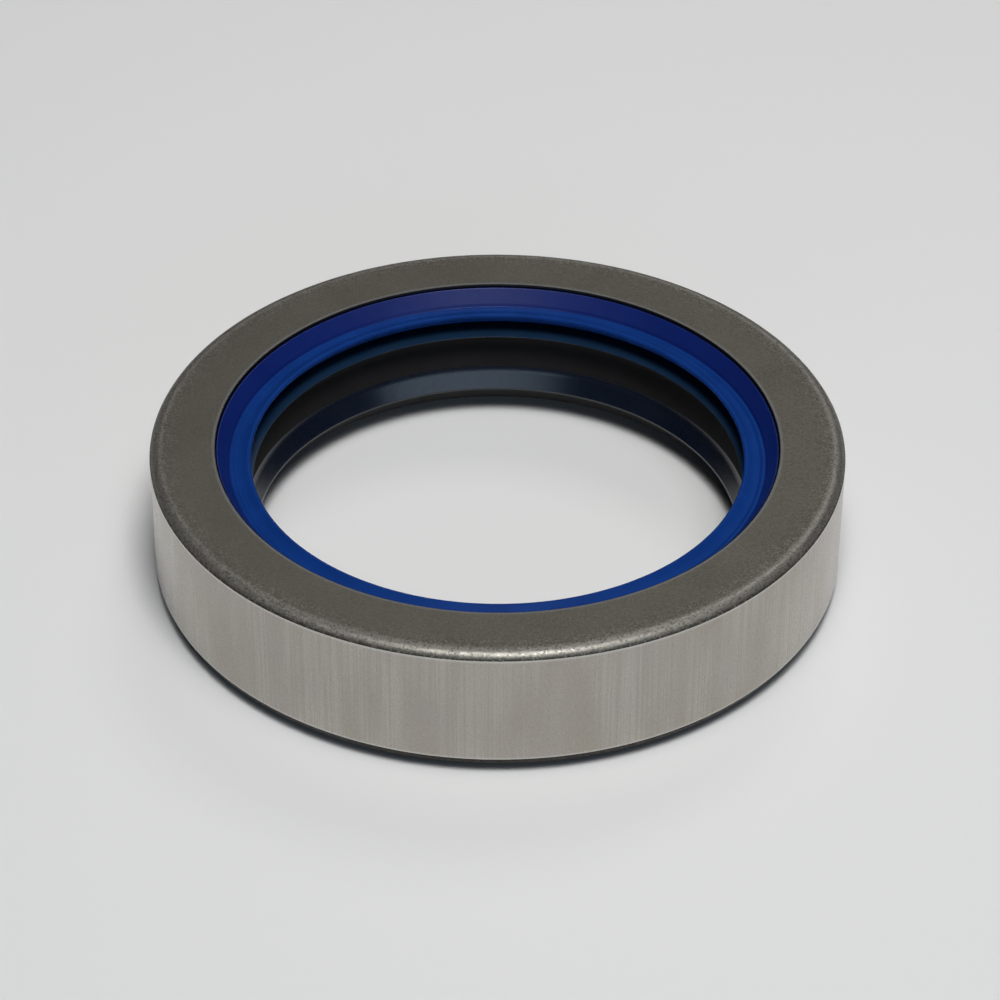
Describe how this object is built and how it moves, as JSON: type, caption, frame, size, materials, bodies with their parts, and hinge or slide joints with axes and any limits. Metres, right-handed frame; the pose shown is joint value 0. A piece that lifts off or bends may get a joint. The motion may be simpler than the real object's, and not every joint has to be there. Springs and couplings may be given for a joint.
{
  "type": "rotary shaft oil seal",
  "caption": "Metal-cased rotary shaft seal with a blue polyurethane wiper ring on the air side and a spring-loaded rubber lip on the oil side.",
  "frame": {"origin": "on the seal's axis, in the plane of the rolled rim that it rests on", "axes": "+Z along the shaft axis towards the air side; the section is the same all round, so X and Y are free"},
  "size_m": [0.09, 0.09, 0.0185],
  "materials": {
    "case_steel": "phosphated dark grey sheet, with the outer diameter ground bright",
    "polyurethane": "satin moulded blue polyurethane",
    "inner_steel": "phosphated pressed steel",
    "rubber": "semi-gloss moulded black nitrile rubber",
    "spring_steel": "drawn spring wire"
  },
  "bodies": {
    "root": {"outer_case": "case_steel", "wiper_ring": "polyurethane", "backing_ring": "inner_steel", "inner_cup": "inner_steel", "rubber_lip": "rubber", "garter_spring": "spring_steel"}
  },
  "joints": []
}
